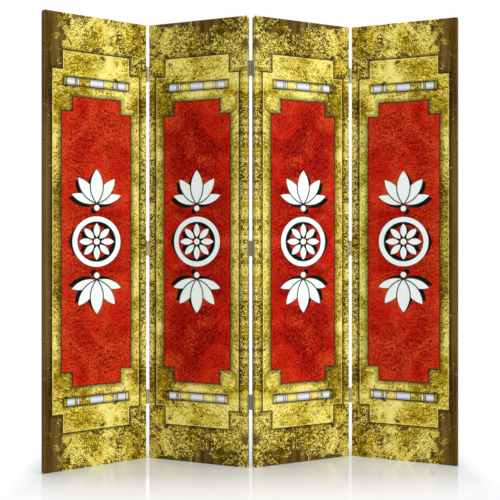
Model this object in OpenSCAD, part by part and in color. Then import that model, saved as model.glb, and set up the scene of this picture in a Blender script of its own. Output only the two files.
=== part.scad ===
// A free-standing folding screen of four canvas-covered panels, printed side to the front.
// X runs along the screen, Y from the viewer to the back and Z up. The origin lies on the floor,
// in the middle of the open screen's plan. Everything is in millimetres.

/* [Screen] */
// Height of a panel over its canvas
panel_h = 1500; // [1200:10:2000]
// Width of a panel over its canvas
panel_w = 360; // [280:5:600]

/* [Folds] */
// Angle of the first panel from left, its free edge towards the viewer, in degrees
angle_1 = 32; // [5:1:60]
// Angle of the second panel, the other way, in degrees
angle_2 = 20; // [5:1:60]
// Angle of the third panel, in degrees
angle_3 = 24; // [5:1:60]
// Angle of the fourth panel, the other way, in degrees
angle_4 = 21; // [5:1:60]

/* [Wooden bars] */
// Width of a bar, seen from the back
bar_w = 38; // [34:1:60]
// Depth of a bar, front to back
bar_t = 25; // [23:1:35]
// Width of the raised bead along a bar's outer edge
bead_w = 6; // [4:0.5:12]
// Height of the bead over the face beside it
bead_rise = 2; // [1:0.1:3]
// Fall of the sloping face from the bead to the inner edge
face_fall = 1.6; // [0.5:0.1:3]
// Rounding of a bar's long edges
edge_round = 1.4; // [0.5:0.1:1.8]
// Thickness of the tongue in a mitred corner
tongue_t = 7; // [3:0.5:10]
// Wood left outside a tongue
tongue_cover = 7; // [4:0.5:12]
// Clearance round a tongue or a tenon in its slot
joint_clearance = 0.1; // [0.05:0.05:0.3]

/* [Cross brace] */
// Height of the brace, seen from the back
brace_w = 36; // [30:1:60]
// Depth of the brace, front to back
brace_t = 16; // [10:0.5:17]
// Gap between the canvas and the brace
brace_setback = 5; // [4:0.5:7]
// Length of a brace's tenon
tenon_l = 10; // [6:1:14]
// Thickness of a brace's tenon
tenon_t = 6; // [3:0.5:9]
// Shoulder above and below a tenon
tenon_shoulder = 5; // [2:0.5:10]

/* [Canvas] */
// Thickness of the canvas
canvas_t = 0.6; // [0.4:0.1:1.2]
// Width of the margin that is turned over onto the back
turn_in = 24; // [14:1:32]
// Hairline between the face of the canvas and its turned margins
crease = 0.04; // [0.02:0.01:0.08]

/* [Hinges] */
// Height of a hinge
hinge_h = 51; // [40:1:80]
// Outer diameter of the knuckles, which sets the panels apart
knuckle_d = 9; // [7:0.5:12]
// Thickness of a leaf
leaf_t = 1.6; // [1.5:0.1:2]
// Reach of a leaf from the middle of the pin
leaf_w = 25; // [20:0.5:26]
// Rounding of a leaf's free corners
leaf_round = 2; // [0.5:0.5:3.5]
// Distance of the pin's middle from the face that it folds against
pin_proud = 2; // [1:0.5:4]
// Diameter of the pin
pin_d = 5.5; // [3:0.1:5.6]
// Radial clearance of the pin in the knuckles
pin_clearance = 0.05; // [0.02:0.01:0.08]
// Gap between two knuckles
knuckle_gap = 0.4; // [0.2:0.1:1]
// Distance of the top hinge's middle below the top edge
top_hinge_drop = 170; // [100:5:300]
// Height of the middle hinge's middle over the floor
middle_hinge_z = 727; // [500:1:900]
// Height of the bottom hinge's middle over the floor
bottom_hinge_z = 213; // [100:1:300]

/* [Hinge screws] */
// Diameter of a screw's shank
screw_d = 3; // [2.5:0.1:3.5]
// Diameter of a screw's countersunk head
screw_head_d = 5.8; // [5:0.1:6]
// Length of a screw
screw_l = 18; // [12:1:20]
// Length of a screw's point
screw_point_l = 4; // [2:0.5:6]
// Distance between the two screws of a leaf
screw_pitch = 30; // [20:1:32]
// Distance of the screws from the middle of the pin
screw_reach = 15; // [10:0.5:18]
// Width of a slot in a screw's cross recess
recess_w = 0.9; // [0.6:0.1:1.2]
// Length of a slot in a screw's cross recess
recess_l = 3; // [2:0.1:3.6]
// Depth of a screw's cross recess
recess_depth = 1; // [0.5:0.1:1.3]
// Clearance round a screw
screw_clearance = 0.05; // [0.02:0.01:0.1]

/* [Hidden] */
$fn = 48;
PANELS = 4;
KNUCKLES = 5;
WOOD = [0.83, 0.68, 0.46];
BRACE_WOOD = [0.80, 0.64, 0.42];
CANVAS = [0.72, 0.55, 0.22];
STEEL = [0.55, 0.54, 0.47];
BRIGHT_STEEL = [0.72, 0.72, 0.70];

FOLD_NAMES = ["left_fold", "middle_fold", "right_fold"];
LEVEL_NAMES = ["top", "middle", "bottom"];
PANEL_PIECES = ["left_stile", "right_stile", "top_rail", "bottom_rail", "cross_brace", "canvas", "hinge_screws"];
HINGE_PIECES = ["three_knuckle_leaf", "two_knuckle_leaf", "hinge_pin"];

// Depth of a panel over its canvas
panel_t = bar_t + 2 * canvas_t;
// Outer size of the wooden frame inside the canvas
frame_h = panel_h - 2 * canvas_t;
frame_w = panel_w - 2 * canvas_t;
knuckle_r = knuckle_d / 2;
knuckle_h = (hinge_h - (KNUCKLES - 1) * knuckle_gap) / KNUCKLES;
hinge_z = [panel_h - top_hinge_drop, middle_hinge_z, bottom_hinge_z];
head_h = (screw_head_d - screw_d) / 2;
// How far a cutting shape runs past what it cuts
past = 1;

// The pins of the outer folds stand before the print, so that it folds face to face, and the
// middle pin stands behind it, so that the two halves fold back to back
pin_behind = [false, true, false];
pin_y = [for (behind = pin_behind) behind ? panel_t + pin_proud : -pin_proud];
turn = [angle_1, -angle_2, angle_3, -angle_4];

function along(a) = [cos(a), sin(a)];
function backward(a) = [-sin(a), cos(a)];
// Plan offset of a point that lies x along a panel and y behind its front face
function offset_in(panel, x, y) = x * along(turn[panel]) + y * backward(turn[panel]);
// Plan position of a panel's front left corner, each panel hung from the pin it shares with the last
function chained(panel) = panel == 0
    ? [0, 0]
    : chained(panel - 1)
        + offset_in(panel - 1, panel_w + knuckle_r, pin_y[panel - 1])
        - offset_in(panel, -knuckle_r, pin_y[panel - 1]);
plan_corners = [for (panel = [0:PANELS - 1], x = [0, panel_w], y = [0, panel_t])
    chained(panel) + offset_in(panel, x, y)];
function middle_of(axis) = let (values = [for (corner = plan_corners) corner[axis]])
    (min(values) + max(values)) / 2;
plan_middle = [middle_of(0), middle_of(1)];

// Points of an arc, for the long edges of a bar
function arc(centre, r, from, steps = 4) = [for (i = [0:steps])
    centre + r * [cos(from + 90 * i / steps), sin(from + 90 * i / steps)]];
// Cross-section of a bar, x from its outer edge inwards and y from front to back
bar_section = concat(
    arc([edge_round, edge_round], edge_round, 180),
    arc([bead_w - bead_rise, bead_rise], bead_rise, 270),
    arc([bar_w - edge_round, bead_rise + face_fall + edge_round], edge_round, 270),
    arc([bar_w - edge_round, bar_t - edge_round], edge_round, 0),
    arc([edge_round, bar_t - edge_round], edge_round, 90)
);
// Cross-section of the brace, x up and y from front to back
brace_section = concat(
    arc([edge_round, edge_round], edge_round, 180),
    arc([brace_w - edge_round, edge_round], edge_round, 270),
    arc([brace_w - edge_round, brace_t - edge_round], edge_round, 0),
    arc([edge_round, brace_t - edge_round], edge_round, 90)
);
// Cross-section of a turned margin, x from the panel's edge inwards and y from front to back
margin_section = [
    [0, canvas_t + crease],
    [canvas_t, canvas_t + crease],
    [canvas_t, panel_t - canvas_t],
    [turn_in, panel_t - canvas_t],
    [turn_in, panel_t],
    [0, panel_t]
];

// Puts a piece drawn in a panel's own frame where that panel stands
module in_panel(panel) {
    corner = chained(panel) - plan_middle;
    translate([corner[0], corner[1], 0])
        rotate([0, 0, turn[panel]])
            children();
}

// Turns an upright piece of a panel's frame into a lying one, its outer edge down
module laid() {
    mirror([1, 0, -1])
        children();
}

// Turns a lying piece of a panel's frame over, to its top edge
module topped() {
    translate([0, 0, panel_h])
        mirror([0, 0, 1])
            children();
}

// Turns a piece of a panel's left edge over, to its right edge
module righted() {
    translate([panel_w, 0, 0])
        mirror([1, 0, 0])
            children();
}

// Keeps what lies between two mitre cuts, on a strip along Z with its outer edge at x = 0
module mitred(length, width, inset = 0) {
    reach = width + past;
    intersection() {
        children();
        translate([0, panel_t + past, 0])
            rotate([90, 0, 0])
                linear_extrude(panel_t + 2 * past)
                    polygon([
                        [-past, inset - past],
                        [reach, reach + inset],
                        [reach, length - reach - inset],
                        [-past, length - inset + past]
                    ]);
    }
}

// A flat shape at mid-depth of the bars, drawn with x across the bar and y along it
module mid_depth(thickness) {
    translate([0, (bar_t + thickness) / 2, 0])
        rotate([90, 0, 0])
            linear_extrude(thickness)
                children();
}

// Plan of the tongue at the lower end of a bar, in the corner that the mitre leaves free
module tongue_plan() {
    inner = bar_w - tongue_cover;
    polygon([
        [tongue_cover, tongue_cover],
        [inner, tongue_cover],
        [inner, inner + past],
        [tongue_cover, tongue_cover + past]
    ]);
}

// Plan of the slot that takes the other bar's tongue
module slot_plan() {
    low = tongue_cover - joint_clearance;
    high = bar_w - tongue_cover + joint_clearance;
    polygon([
        [low, low - past],
        [high + past, high],
        [low, high]
    ]);
}

// Does the same at both ends of a bar
module both_ends(length) {
    children();
    translate([0, 0, length])
        mirror([0, 0, 1])
            children();
}

// A profiled bar along Z with mitred ends
module profiled_bar(length) {
    mitred(length, bar_w)
        linear_extrude(length)
            polygon(bar_section);
}

// A stile in a frame's own corner: slots for the rails' tongues, a mortise for the brace
module stile_blank() {
    difference() {
        profiled_bar(frame_h);
        both_ends(frame_h)
            mid_depth(tongue_t + 2 * joint_clearance)
                slot_plan();
        translate([bar_w - tenon_l - joint_clearance, brace_setback + (brace_t - tenon_t) / 2 - joint_clearance,
                frame_h / 2 - tenon_h / 2 - joint_clearance])
            cube([tenon_l + past, tenon_t + 2 * joint_clearance, tenon_h + 2 * joint_clearance]);
    }
}
tenon_h = brace_w - 2 * tenon_shoulder;

// A rail in a frame's own corner, with a tongue at each end
module rail_blank() {
    profiled_bar(frame_w);
    both_ends(frame_w)
        mid_depth(tongue_t)
            tongue_plan();
}

// Draws along Z, into the panel, at every hinge screw of one of a panel's edges
module at_screws(panel, right_edge) {
    fold = right_edge ? panel : panel - 1;
    if (fold >= 0 && fold < PANELS - 1)
        for (level = [0:2], side = [-1, 1])
            at_hinge(fold, level, right_edge)
                translate([knuckle_r - leaf_t, screw_reach, side * screw_pitch / 2])
                    rotate([0, 90, 0])
                        children();
}

// Puts a piece drawn about its pin on a panel's edge. It is drawn with the panel at +X and the
// panel's depth along +Y
module at_hinge(fold, level, right_edge) {
    translate([right_edge ? panel_w + knuckle_r : -knuckle_r, pin_y[fold], hinge_z[level]])
        mirror([right_edge ? 1 : 0, 0, 0])
            mirror([0, pin_behind[fold] ? 1 : 0, 0])
                children();
}

module screw_hole() {
    cylinder(h = screw_l + past, d = screw_d + 2 * screw_clearance);
}

module left_stile(panel) {
    color(WOOD)
        in_panel(panel)
            difference() {
                translate([canvas_t, canvas_t, canvas_t])
                    stile_blank();
                at_screws(panel, false)
                    screw_hole();
            }
}

module right_stile(panel) {
    color(WOOD)
        in_panel(panel)
            difference() {
                righted()
                    translate([canvas_t, canvas_t, canvas_t])
                        stile_blank();
                at_screws(panel, true)
                    screw_hole();
            }
}

module bottom_rail(panel) {
    color(WOOD)
        in_panel(panel)
            laid()
                translate([canvas_t, canvas_t, canvas_t])
                    rail_blank();
}

module top_rail(panel) {
    color(WOOD)
        in_panel(panel)
            topped()
                laid()
                    translate([canvas_t, canvas_t, canvas_t])
                        rail_blank();
}

// The brace between the stiles at mid-height, set back from the canvas, with a tenon at each end
module cross_brace(panel) {
    clear_w = frame_w - 2 * bar_w;
    color(BRACE_WOOD)
        in_panel(panel)
            translate([canvas_t + bar_w, canvas_t + brace_setback, (panel_h - brace_w) / 2])
                laid() {
                    linear_extrude(clear_w)
                        polygon(brace_section);
                    translate([tenon_shoulder, (brace_t - tenon_t) / 2, -tenon_l])
                        cube([tenon_h, tenon_t, clear_w + 2 * tenon_l]);
                }
}

// One margin of the canvas, over the panel's edge and onto its back
module turned_margin(length) {
    mitred(length, turn_in, crease)
        linear_extrude(length)
            polygon(margin_section);
}

// The printed canvas: its face, and a margin turned over each of the four edges
module canvas(panel) {
    color(CANVAS)
        in_panel(panel)
            difference() {
                union() {
                    cube([panel_w, canvas_t, panel_h]);
                    turned_margin(panel_h);
                    righted()
                        turned_margin(panel_h);
                    laid()
                        turned_margin(panel_w);
                    topped()
                        laid()
                            turned_margin(panel_w);
                }
                at_screws(panel, false)
                    screw_hole();
                at_screws(panel, true)
                    screw_hole();
            }
}

// A countersunk cross-recess screw along Z, its head at z = 0
module screw() {
    difference() {
        union() {
            cylinder(h = head_h, d1 = screw_head_d, d2 = screw_d);
            cylinder(h = screw_l - screw_point_l, d = screw_d);
            translate([0, 0, screw_l - screw_point_l])
                cylinder(h = screw_point_l, d1 = screw_d, d2 = screw_d / 6);
        }
        for (angle = [0, 90])
            rotate([0, 0, angle])
                translate([-recess_l / 2, -recess_w / 2, -past])
                    cube([recess_l, recess_w, recess_depth + past]);
    }
}

module hinge_screws(panel) {
    color(BRIGHT_STEEL)
        in_panel(panel)
            for (right_edge = [false, true])
                at_screws(panel, right_edge)
                    screw();
}

// Outline of a leaf's plate, x away from the pin and y up
module leaf_outline() {
    difference() {
        union() {
            translate([0, -hinge_h / 2])
                square([leaf_w - leaf_round, hinge_h]);
            translate([0, leaf_round - hinge_h / 2])
                square([leaf_w, hinge_h - 2 * leaf_round]);
            for (side = [-1, 1])
                translate([leaf_w - leaf_round, side * (hinge_h / 2 - leaf_round)])
                    circle(r = leaf_round);
        }
        for (side = [-1, 1])
            translate([screw_reach, side * screw_pitch / 2])
                circle(d = screw_d + 2 * screw_clearance);
    }
}

function knuckle_z(number) = number * (knuckle_h + knuckle_gap) - hinge_h / 2;

// A leaf drawn about its pin, with the given knuckles of the five and room for the others
module leaf(mine, others) {
    difference() {
        union() {
            translate([knuckle_r - leaf_t, 0, 0])
                rotate([90, 0, 90])
                    linear_extrude(leaf_t)
                        leaf_outline();
            for (number = mine)
                translate([0, 0, knuckle_z(number)])
                    cylinder(h = knuckle_h, r = knuckle_r);
        }
        for (number = others)
            translate([0, -past, knuckle_z(number) - knuckle_gap])
                cube([knuckle_d, knuckle_r + knuckle_gap + past, knuckle_h + 2 * knuckle_gap]);
        translate([0, 0, -hinge_h / 2 - past])
            cylinder(h = hinge_h + 2 * past, d = pin_d + 2 * pin_clearance);
        for (side = [-1, 1])
            translate([knuckle_r - leaf_t, screw_reach, side * screw_pitch / 2])
                rotate([0, 90, 0])
                    countersink();
    }
}

// The cone in a leaf that takes a screw's head
module countersink() {
    translate([0, 0, -past])
        cylinder(h = head_h + past, d1 = screw_head_d + 2 * (past + screw_clearance), d2 = screw_d + 2 * screw_clearance);
}

// The leaf on the left-hand panel's right edge
module three_knuckle_leaf(fold, level) {
    color(STEEL)
        in_panel(fold)
            at_hinge(fold, level, true)
                leaf([0, 2, 4], [1, 3]);
}

// The leaf on the right-hand panel's left edge
module two_knuckle_leaf(fold, level) {
    color(STEEL)
        in_panel(fold + 1)
            at_hinge(fold, level, false)
                leaf([1, 3], [0, 2, 4]);
}

// The pin, held in the three knuckles, with its ends broken
module hinge_pin(fold, level) {
    broken = pin_d / 10;
    color(BRIGHT_STEEL)
        in_panel(fold)
            at_hinge(fold, level, true)
                for (half = [0, 1])
                    mirror([0, 0, half]) {
                        cylinder(h = hinge_h / 2 - broken, d = pin_d);
                        translate([0, 0, hinge_h / 2 - broken])
                            cylinder(h = broken, d1 = pin_d, d2 = pin_d - 2 * broken);
                    }
}

for (panel = [0:PANELS - 1]) {
    name = str("panel_", panel + 1, "_");
    left_stile(panel);
    right_stile(panel);
    top_rail(panel);
    bottom_rail(panel);
    cross_brace(panel);
    canvas(panel);
    hinge_screws(panel);
}
for (fold = [0:PANELS - 2], level = [0:2]) {
    name = str(FOLD_NAMES[fold], "_", LEVEL_NAMES[level], "_");
    three_knuckle_leaf(fold, level);
    two_knuckle_leaf(fold, level);
    hinge_pin(fold, level);
}
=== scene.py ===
"""Looks of a canvas folding screen: printed and raw canvas, staples, pine bars and hinges."""

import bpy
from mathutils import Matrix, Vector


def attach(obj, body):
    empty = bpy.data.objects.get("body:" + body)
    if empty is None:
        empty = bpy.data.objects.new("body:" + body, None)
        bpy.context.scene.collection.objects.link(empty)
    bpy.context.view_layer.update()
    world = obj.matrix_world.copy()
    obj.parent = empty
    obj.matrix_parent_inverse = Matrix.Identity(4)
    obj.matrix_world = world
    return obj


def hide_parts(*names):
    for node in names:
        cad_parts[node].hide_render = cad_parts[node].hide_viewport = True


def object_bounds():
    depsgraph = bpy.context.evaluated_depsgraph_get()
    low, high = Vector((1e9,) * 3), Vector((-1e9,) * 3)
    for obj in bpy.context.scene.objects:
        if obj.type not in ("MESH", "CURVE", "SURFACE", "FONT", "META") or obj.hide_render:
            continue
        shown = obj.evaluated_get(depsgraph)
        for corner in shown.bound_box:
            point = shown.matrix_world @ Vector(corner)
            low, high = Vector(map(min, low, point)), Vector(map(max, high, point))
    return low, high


bl_info = {
    "name": "Canvas folding screen",
    "version": (1, 0, 0),
    "blender": (4, 5, 0),
    "location": "3D View > Sidebar > Folding screen",
    "description": "Dresses a packed folding screen with stretched canvas, staples and real finishes",
    "category": "Object",
}

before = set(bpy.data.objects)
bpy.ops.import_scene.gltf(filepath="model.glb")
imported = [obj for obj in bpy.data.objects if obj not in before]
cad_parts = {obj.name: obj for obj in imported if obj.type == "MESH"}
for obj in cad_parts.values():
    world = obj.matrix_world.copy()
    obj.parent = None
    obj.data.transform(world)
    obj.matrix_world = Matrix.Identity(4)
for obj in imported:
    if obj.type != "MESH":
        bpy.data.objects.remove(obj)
CAD_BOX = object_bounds()

import math
import random
from dataclasses import dataclass
from functools import reduce
from types import SimpleNamespace

import bmesh
import bpy
import numpy as np
from bpy.props import FloatProperty, FloatVectorProperty, PointerProperty
from mathutils import Matrix, Vector

PANEL_NUMBERS = (1, 2, 3, 4)
FOLDS = ("left_fold", "middle_fold", "right_fold")
LEVELS = ("top", "middle", "bottom")
STILES = ("left_stile", "right_stile")
RAILS = ("top_rail", "bottom_rail")
PRINT_MAP = "print"
TURN_MAP = "turn"
PLATED = "plated steel"
MM = 0.001
TINY = 1e-6
CLOTH_COLUMNS = 30
CLOTH_ROWS = 124
CUT_EDGE_SEED = 40
FLOOR_HALF = 30.0
SENSOR_MM = 36.0
PICTURE_PX = 500
# Angle in radians past which two faces of the drawn cloth meet at a bend
BEND = 1.0
# Share of a face's normal along the depth, past which the face lies on the back or on the front
ON_BACK = 0.7
ON_FRONT = 0.99
# Bow of the face, from 0 at its edges to 1 in its middle, below which it rests on its bars
RESTING = 0.04
# Which slice of the noise the print shows
NOISE_SLICE = 3.7
# Width of a growth ring in the pine
GROWTH_RING = 5.2 * MM
# Lean in degrees, length and half width of a blossom's petals, from the middle one outwards
BLOSSOM_PETALS = ((0, 112 * MM, 21 * MM), (38, 104 * MM, 18 * MM), (73, 90 * MM, 14.5 * MM))
PETAL_GAP = 4 * MM
# Distance of the bead below a blossom's foot and the bead's radius
BLOSSOM_BEAD = (17 * MM, 9.5 * MM)
# Distance from the middle to the foot, length and half width of a rosette's petals
ROSETTE_PETAL = (15 * MM, 46 * MM, 10.5 * MM)
ROSETTE_BEAD = 10 * MM
# Distance from the middle of a rod and half width of its silver bands
ROD_BANDS = ((0.0, 24 * MM), (64 * MM, 4 * MM), (89 * MM, 14 * MM))
# Linear colours of the floor and of its polish
FLOOR_WHITE = (0.935, 0.975, 1.0)
POLISH_WHITE = (0.88, 0.94, 0.98)


# Sizes and colours that a user can change

def linear(code):
    """The linear colour of an sRGB code such as d8bb46."""
    channels = (int(code[i:i + 2], 16) / 255 for i in (0, 2, 4))
    return tuple(c / 12.92 if c <= 0.04045 else ((c + 0.055) / 1.055) ** 2.4 for c in channels)


def length_property(name, description, default):
    """A length in metres that a user can change."""
    return FloatProperty(name=name, description=description, default=default, min=0.0, precision=5,
                         unit="LENGTH")


def colour_property(name, description, code):
    """A colour that a user can change, given by its sRGB code."""
    return FloatVectorProperty(name=name, description=description, default=linear(code), size=3,
                               min=0.0, max=1.0, subtype="COLOR")


def power_property(name, description, default):
    """The power of a light that a user can change."""
    return FloatProperty(name=name, description=description, default=default, min=0.0, unit="POWER")


class ScreenCloth(bpy.types.PropertyGroup):
    """Sizes of the stretched canvas"""
    thickness: length_property("Thickness", "Thickness of the canvas", 0.6 * MM)
    turn_in: length_property("Turned margin", "Width of the margin on the back", 24 * MM)
    edge_radius: length_property("Edge radius", "Radius of the canvas over the bead of a bar", 1.3 * MM)
    slack: length_property("Slack", "How far the middle of the face lies in", 0.8 * MM)
    fray: length_property("Cut edge", "Unevenness of the cut edge on the back", 0.9 * MM)
    bleed: length_property("Bleed", "Width of the print on the back", 5 * MM)
    ripple: length_property("Ripple", "Rise of the margin between two staples", 0.35 * MM)
    weave_pitch: length_property("Weave pitch", "Distance between two threads", 0.8 * MM)


class ScreenPrint(bpy.types.PropertyGroup):
    """Colours of the print"""
    gold_pale: colour_property("Pale gold", "Torn rims and the smoothest leaf", "fbee8c")
    gold_light: colour_property("Light gold", "Gold leaf where it shines", "e6d24a")
    gold: colour_property("Gold", "Gold leaf", "caac1e")
    olive: colour_property("Olive", "Tarnished leaf", "876d0a")
    bronze: colour_property("Bronze", "Heavily tarnished leaf", "5c4003")
    umber: colour_property("Umber", "Ground under the leaf", "2f1b02")
    earth: colour_property("Earth", "Brown bands in the ground", "7f6636")
    shadow: colour_property("Shadow", "Soft shade beside the rods and the lacquer", "2f3a22")
    red_light: colour_property("Light red", "Lacquer where it is bright", "dd441b")
    red: colour_property("Red", "Lacquer", "cc2008")
    red_deep: colour_property("Deep red", "Worn lacquer", "780000")
    white: colour_property("White", "Ornament", "f8fffa")
    black: colour_property("Black", "Drop edge of the ornament, outlines and pits", "0d1410")
    silver_light: colour_property("Light silver", "Middle of a silver band", "e8e9f1")
    silver_dark: colour_property("Dark silver", "Edges of a silver band", "6a6f78")


class ScreenDesign(bpy.types.PropertyGroup):
    """Sizes of the printed design"""
    plate_w: length_property("Plate width", "Width of the stepped gold plate", 308 * MM)
    plate_h: length_property("Plate height", "Height of the stepped gold plate", 1256 * MM)
    plate_step_w: length_property("Plate step width", "Width cut from each corner of the plate", 36 * MM)
    plate_step_h: length_property("Plate step height", "Height cut from each corner of the plate", 62 * MM)
    field_w: length_property("Field width", "Width of the lacquered field", 244 * MM)
    field_h: length_property("Field height", "Height of the lacquered field", 956 * MM)
    field_step_w: length_property("Field step width", "Width cut from each corner of the field", 38 * MM)
    field_step_h: length_property("Field step height", "Height cut from each corner of the field", 48 * MM)
    rod_w: length_property("Rod length", "Length of the rod above and below the field", 228 * MM)
    rod_h: length_property("Rod thickness", "Thickness of a rod", 28 * MM)
    rod_rise: length_property("Rod place", "Distance of a rod from the panel's middle", 528 * MM)
    ring_radius: length_property("Ring radius", "Radius of the ring about the rosette", 76 * MM)
    ring_w: length_property("Ring width", "Width of the ring's stroke", 17 * MM)
    blossom_rise: length_property("Blossom place", "Distance of a blossom's foot from the middle", 130 * MM)
    drop_x: length_property("Drop sideways", "How far the black drop edge lies outwards", 11 * MM)
    drop_z: length_property("Drop downwards", "How far the black drop edge lies inwards", 10 * MM)


class ScreenMaterials(bpy.types.PropertyGroup):
    """Colours of the raw materials"""
    primer: colour_property("Primer", "Unprinted margin of the canvas", "efece4")
    raw_cloth: colour_property("Raw canvas", "Back of the canvas", "ded6c2")
    # Painted shade for the hollows between the threads of the raw canvas, and also the colour of its stains
    thread_shade_and_stain: colour_property("Thread shadow", "Hollows between the threads", "a89c84")
    pine_light: colour_property("Early wood", "Pale bands of the pine", "e6c896")
    pine_dark: colour_property("Late wood", "Dark bands of the pine", "c08f52")
    knot_dark: colour_property("Knots", "Knots in the pine", "6e4322")
    steel: colour_property("Hinge steel", "Dull plated steel", "bdb697")
    steel_dark: colour_property("Tarnished steel", "Tarnish on the hinges", "8f876a")
    zinc: colour_property("Zinc", "Zinc-plated screws, pins and staples", "c4c4c0")
    zinc_dark: colour_property("Dull zinc", "Dull patches on the zinc", "85857f")


class ScreenStaples(bpy.types.PropertyGroup):
    """Sizes of the staples"""
    pitch: length_property("Pitch", "Distance between two staples", 58 * MM)
    end_gap: length_property("End gap", "Distance of the last staple from a margin's corner", 6 * MM)
    crown: length_property("Crown", "Length of a staple's crown", 10 * MM)
    wire_w: length_property("Wire width", "Width of the flat wire", 1.2 * MM)
    wire_t: length_property("Wire thickness", "Thickness of the flat wire", 0.6 * MM)
    leg: length_property("Leg", "Length of a leg", 6 * MM)
    inset: length_property("Inset", "Distance of the crown from the cut edge", 9 * MM)
    stray: length_property("Stray", "How far a staple may lie beside its line", 1.5 * MM)
    tilt: FloatProperty(name="Tilt", description="How far a staple may be turned", default=0.14,
                        subtype="ANGLE")


class ScreenStage(bpy.types.PropertyGroup):
    """The camera, the lights and the floor"""
    camera_x: FloatProperty(name="Camera X", description="Camera along the screen", default=-0.0114,
                            unit="LENGTH")
    camera_distance: length_property("Camera distance", "Camera before the screen's middle", 2.6619)
    lens: FloatProperty(name="Lens", description="Focal length in millimetres", default=56.71,
                        unit="CAMERA")
    rise_px: FloatProperty(name="Horizon rise", description="Horizon above the picture's middle, in pixels",
                           default=8.4, subtype="PIXEL")
    key_power: power_property("Key", "Power of the key light", 165.0)
    fill_power: power_property("Fill", "Power of the fill light", 10.0)
    back_power: power_property("Back", "Power of the light behind", 35.0)
    top_power: power_property("Top", "Power of the light above", 52.0)
    world_light: FloatProperty(name="World", description="Brightness of the surroundings", default=0.36,
                               min=0.0, subtype="FACTOR")
    polish: FloatProperty(name="Polish", description="Share that the floor mirrors at the screen's foot",
                          default=0.25, min=0.0, max=1.0, subtype="FACTOR")
    polish_reach: length_property("Polish reach", "Distance over which the mirroring fades", 0.30)
    white_beside: length_property("White beside", "Distance beside the screen to plain white", 0.07)
    white_before: length_property("White before", "Distance before the screen to plain white", 0.60)


def colours_of(group):
    """The colours of a property group as plain tuples, by name."""
    return SimpleNamespace(**{name: tuple(getattr(group, name)) for name in type(group).__annotations__})


# Where each panel stands

@dataclass
class Place:
    """Where a panel stands: its front left foot, its directions and its size."""
    number: int
    origin: Vector
    along: Vector
    backward: Vector
    width: float
    depth: float
    height: float

    def matrix(self):
        """Takes a point of the panel's own frame (along, backward, up) to the row frame."""
        turned = Matrix((self.along, self.backward, (0, 0, 1))).transposed().to_4x4()
        return Matrix.Translation(self.origin) @ turned

    def angle(self):
        """Turn of the panel about the upright axis."""
        return math.atan2(self.along.y, self.along.x)


def node_points(name):
    """The distinct points of a CAD node's mesh."""
    points = np.array([v.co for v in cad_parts[name].data.vertices], float)
    return np.unique(points.round(6), axis=0)


def place_of(number):
    """Reads a panel's place off its brace, which runs along it, and its canvas, which bounds it."""
    brace = node_points(f"panel_{number}_cross_brace")[:, :2]
    spread = np.cov((brace - brace.mean(0)).T)
    direction = np.linalg.eigh(spread)[1][:, -1]
    direction = direction * math.copysign(1, direction[0])
    along = Vector((direction[0], direction[1], 0)).normalized()
    backward = Vector((-along.y, along.x, 0))
    cloth = node_points(f"panel_{number}_canvas")
    x, y, z = cloth @ np.array(along), cloth @ np.array(backward), cloth[:, 2]
    origin = along * x.min() + backward * y.min() + Vector((0, 0, z.min()))
    return Place(number, origin, along, backward, np.ptp(x), np.ptp(y), np.ptp(z))


PLACES = {number: place_of(number) for number in PANEL_NUMBERS}


# Node trees

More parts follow.
